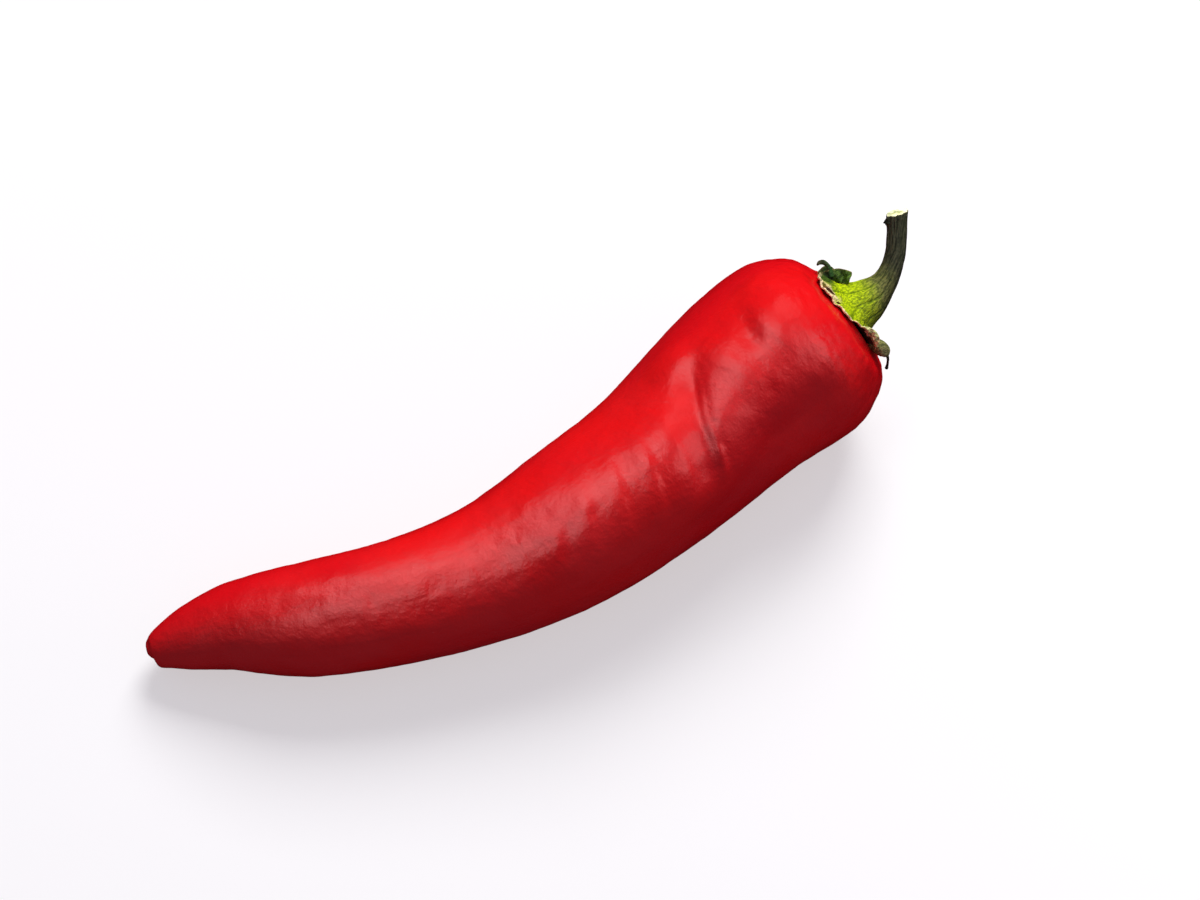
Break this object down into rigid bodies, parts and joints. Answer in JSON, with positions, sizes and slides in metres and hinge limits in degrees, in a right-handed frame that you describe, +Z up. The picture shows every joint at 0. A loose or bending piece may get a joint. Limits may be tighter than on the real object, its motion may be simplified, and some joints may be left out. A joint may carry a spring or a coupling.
{
  "type": "pointed sweet pepper",
  "caption": "Whole ripe red sweet pepper of the long pointed kind, lying on its side, with its green calyx and cut, bent stalk.",
  "frame": {"origin": "on the table under the middle of the pepper's bounding box", "axes": "+X from the tip to the stalk, +Y towards the inside of the bend, where the stalk points, +Z up off the table"},
  "size_m": [0.2496, 0.0734, 0.0587],
  "materials": {
    "skin": "smooth waxy red skin with a soft gloss",
    "calyx": "leathery yellow-green, dry and tan at the edge",
    "stalk": "ribbed dark green stalk, pale where it is cut"
  },
  "bodies": {
    "root": {"fruit": "skin", "calyx": "calyx", "stalk": "stalk"}
  },
  "joints": []
}
